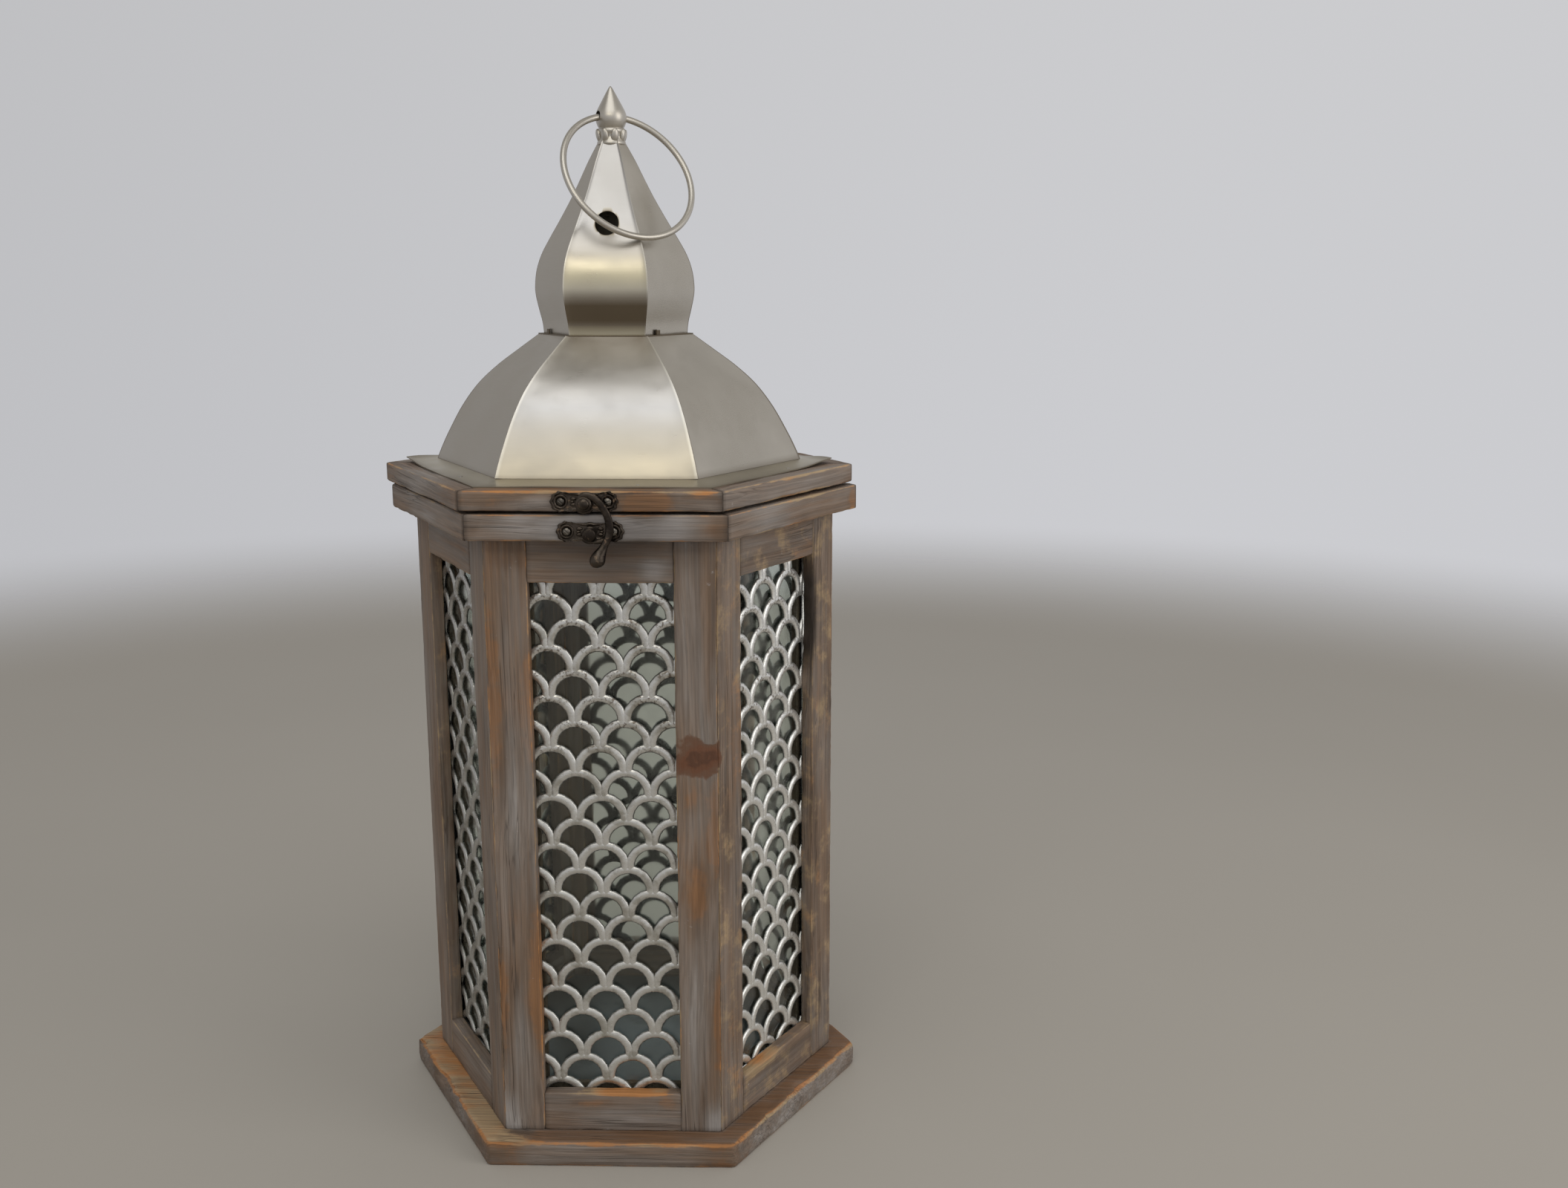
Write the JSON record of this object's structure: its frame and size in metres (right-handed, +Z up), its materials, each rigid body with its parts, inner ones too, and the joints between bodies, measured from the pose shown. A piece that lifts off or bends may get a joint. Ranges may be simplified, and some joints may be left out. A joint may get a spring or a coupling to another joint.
{
  "type": "hexagonal lantern floor lamp",
  "caption": "Hexagonal wooden candle lantern with scale-pattern metal grilles over glass, a hinged onion-dome roof, a hook latch and a ring handle.",
  "frame": {"origin": "middle of the underside of the base board", "axes": "+Z up through the finial; -Y is the front, where the latch is; +X to the right as seen from the front"},
  "size_m": [0.3385, 0.3067, 0.7222],
  "materials": {
    "weathered_wood": "greyed and whitewashed brown, matt, worn to orange at the edges",
    "bead_wood": "plain brown, matt",
    "roof_sheet": "satin nickel, warm and a little stained",
    "grille_metal": "silvered with brown patina",
    "finial_metal": "satin silver",
    "dark_bronze": "dark antique bronze, coppery on the high spots",
    "window_glass": "clear with a slight grey-green tint",
    "steel": "plain",
    "plate_metal": "grey-blue, dull"
  },
  "bodies": {
    "body": {"base_board": "weathered_wood", "candle_plate": "plate_metal", "post_front_right": "weathered_wood", "post_right": "weathered_wood", "post_rear_right": "weathered_wood", "post_rear_left": "weathered_wood", "post_left": "weathered_wood", "post_front_left": "weathered_wood", "top_rails": "weathered_wood", "bottom_rails": "weathered_wood", "grille_front": "grille_metal", "grille_front_right": "grille_metal", "grille_rear_right": "grille_metal", "grille_rear": "grille_metal", "grille_rear_left": "grille_metal", "grille_front_left": "grille_metal", "glass_front": "window_glass", "glass_front_right": "window_glass", "glass_rear_right": "window_glass", "glass_rear": "window_glass", "glass_rear_left": "window_glass", "glass_front_left": "window_glass", "glazing_beads": "bead_wood", "body_rim": "weathered_wood", "catch_plate": "dark_bronze", "catch_stud": "dark_bronze", "catch_screws": "dark_bronze", "hinge_leaves_rim": "dark_bronze", "hinge_pins": "dark_bronze", "hinge_screws_rim": "dark_bronze"},
    "lid": {"lid_frame": "weathered_wood", "roof_flange": "roof_sheet", "roof_nails": "steel", "dome_front": "roof_sheet", "dome_front_right": "roof_sheet", "dome_rear_right": "roof_sheet", "dome_rear": "roof_sheet", "dome_rear_left": "roof_sheet", "dome_front_left": "roof_sheet", "onion_shelf": "roof_sheet", "onion_front": "roof_sheet", "onion_front_right": "roof_sheet", "onion_rear_right": "roof_sheet", "onion_rear": "roof_sheet", "onion_rear_left": "roof_sheet", "onion_front_left": "roof_sheet", "onion_tabs": "roof_sheet", "finial_collar": "finial_metal", "finial": "finial_metal", "finial_stud": "steel", "finial_washer": "steel", "finial_nut": "steel", "latch_plate": "dark_bronze", "latch_rivet": "dark_bronze", "latch_screws": "dark_bronze", "hinge_leaves_lid": "dark_bronze", "hinge_screws_lid": "dark_bronze"},
    "hook": {"latch_hook": "dark_bronze"},
    "ring": {"ring_handle": "finial_metal"}
  },
  "joints": [
    {"name": "lid_hinge", "type": "hinge", "parent": "body", "child": "lid", "pos_m": [0, 0.14703, 0.451], "axis": [-1, 0, 0], "range_deg": [0, 170]},
    {"name": "hook_swing", "type": "hinge", "parent": "lid", "child": "hook", "pos_m": [-0.0065, -0.1446, 0.4573], "axis": [0, -1, 0], "range_deg": [-25, 170]},
    {"name": "ring_swing", "type": "hinge", "parent": "lid", "child": "ring", "pos_m": [-0.0032, 0, 0.7023], "axis": [-0.8192, -0.5736, 0], "range_deg": [0, 299]}
  ]
}
